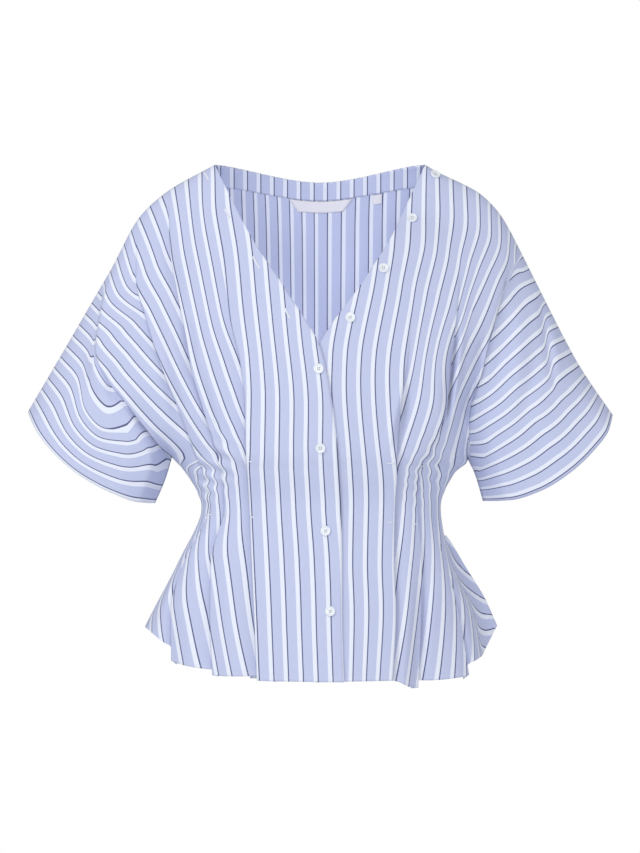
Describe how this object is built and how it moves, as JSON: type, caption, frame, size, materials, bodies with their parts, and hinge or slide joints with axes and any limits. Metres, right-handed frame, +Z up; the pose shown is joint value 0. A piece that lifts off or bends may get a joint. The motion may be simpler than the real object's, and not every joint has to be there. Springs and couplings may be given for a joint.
{
  "type": "v-neck blouse as worn",
  "caption": "Short-sleeved v-neck blouse with kimono sleeves, a deep neckline, a buttoned front, a pleated waist and a fluted peplum, hollow as worn.",
  "frame": {"origin": "midway between the two points where the shoulder seams meet the neckline, on the wearer's shoulder line", "axes": "+Z up, -Y the way the wearer faces, +X towards the wearer's left"},
  "size_m": [0.6438, 0.226, 0.5762],
  "materials": {
    "striped_poplin": "matt",
    "facing_poplin": "matt",
    "label_tape": "smooth woven",
    "button_resin": "satin"
  },
  "bodies": {
    "root": {"front_right": "striped_poplin", "front_left": "striped_poplin", "back": "striped_poplin", "back_neck_facing": "facing_poplin", "neck_label": "label_tape", "size_tab": "label_tape", "button_1": "button_resin", "button_2": "button_resin", "button_3": "button_resin", "button_4": "button_resin", "button_5": "button_resin", "button_6": "button_resin", "button_7": "button_resin", "button_8": "button_resin"}
  },
  "joints": []
}
